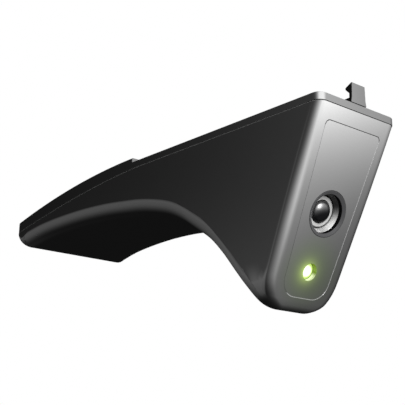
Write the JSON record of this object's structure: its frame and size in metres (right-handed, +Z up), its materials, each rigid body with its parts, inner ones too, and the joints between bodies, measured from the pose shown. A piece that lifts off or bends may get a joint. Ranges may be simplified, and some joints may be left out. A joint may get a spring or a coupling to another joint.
{
  "type": "launch monitor",
  "caption": "Overhead golf launch monitor: an arched camera unit with a raked lens face and a status light, held under a ceiling plate by a sprung hook.",
  "frame": {"origin": "centre of the flat seat on top of the cover, where the ceiling plate lies", "axes": "+X along the body towards the raked front face, +Z up out of the seat, +Y across"},
  "size_m": [0.492, 0.1544, 0.1927],
  "materials": {
    "shell": "satin charcoal paint that turns silver on the front edges",
    "cover": "satin charcoal paint that turns silver at the front",
    "face_panel": "satin silver paint, greyer towards the bottom",
    "bezel": "dark grey satin",
    "lens_metal": "bright turned aluminium",
    "lens_glass": "dark coated glass",
    "light_lens": "clear plastic, lit yellow green",
    "latch": "satin grey",
    "steel": "zinc plated",
    "inner_plastic": "moulded black",
    "focus_black": "black anodised, ribbed",
    "camera_black": "black powder coat",
    "alloy": "bare aluminium",
    "circuit_board": "green solder resist",
    "chip": "black moulded package",
    "emitter": "lit resin",
    "ribbon": "amber film"
  },
  "bodies": {
    "housing": {"body_shell": "shell", "top_cover": "cover", "front_panel": "face_panel", "cover_screw_1": "steel", "cover_screw_2": "steel", "cover_screw_3": "steel", "cover_screw_4": "steel", "cover_screw_5": "steel", "cover_screw_6": "steel", "latch_guide": "inner_plastic", "guide_screw_1": "steel", "guide_screw_2": "steel", "lens_bezel": "bezel", "lens_barrel": "lens_metal", "lens_retaining_ring": "lens_metal", "lens_front_glass": "lens_glass", "lens_flange": "alloy", "camera_bracket": "alloy", "bracket_screw_1": "steel", "bracket_screw_2": "steel", "bracket_screw_3": "steel", "bracket_screw_4": "steel", "camera_housing": "camera_black", "sensor_board": "circuit_board", "image_sensor": "chip", "light_guide": "light_lens", "light_emitter": "emitter", "light_board": "circuit_board", "light_screw_1": "steel", "light_screw_2": "steel", "main_board": "circuit_board", "board_screw_1": "steel", "board_screw_2": "steel", "board_screw_3": "steel", "board_screw_4": "steel", "processor": "chip", "heat_sink": "alloy", "memory_chip_1": "chip", "memory_chip_2": "chip", "power_inductor": "chip", "power_inlet": "inner_plastic", "data_socket": "steel", "camera_ribbon": "ribbon", "light_ribbon": "ribbon"},
    "latch": {"latch_hook": "latch", "latch_pin": "steel", "latch_spring": "steel"},
    "focus": {"focus_ring": "focus_black", "focus_lock_screw": "steel"}
  },
  "joints": [
    {"name": "latch_slide", "type": "slide", "parent": "housing", "child": "latch", "axis": [1, 0, 0], "range_m": [0, 0.005], "stiffness_N_per_m": 600, "springref_m": -0.004, "deforming": ["latch_spring"]},
    {"name": "focus_turn", "type": "hinge", "parent": "housing", "child": "focus", "pos_m": [0.0701, 0, -0.0826], "axis": [0.9018, 0, -0.4321], "range_deg": [0, 120]}
  ]
}
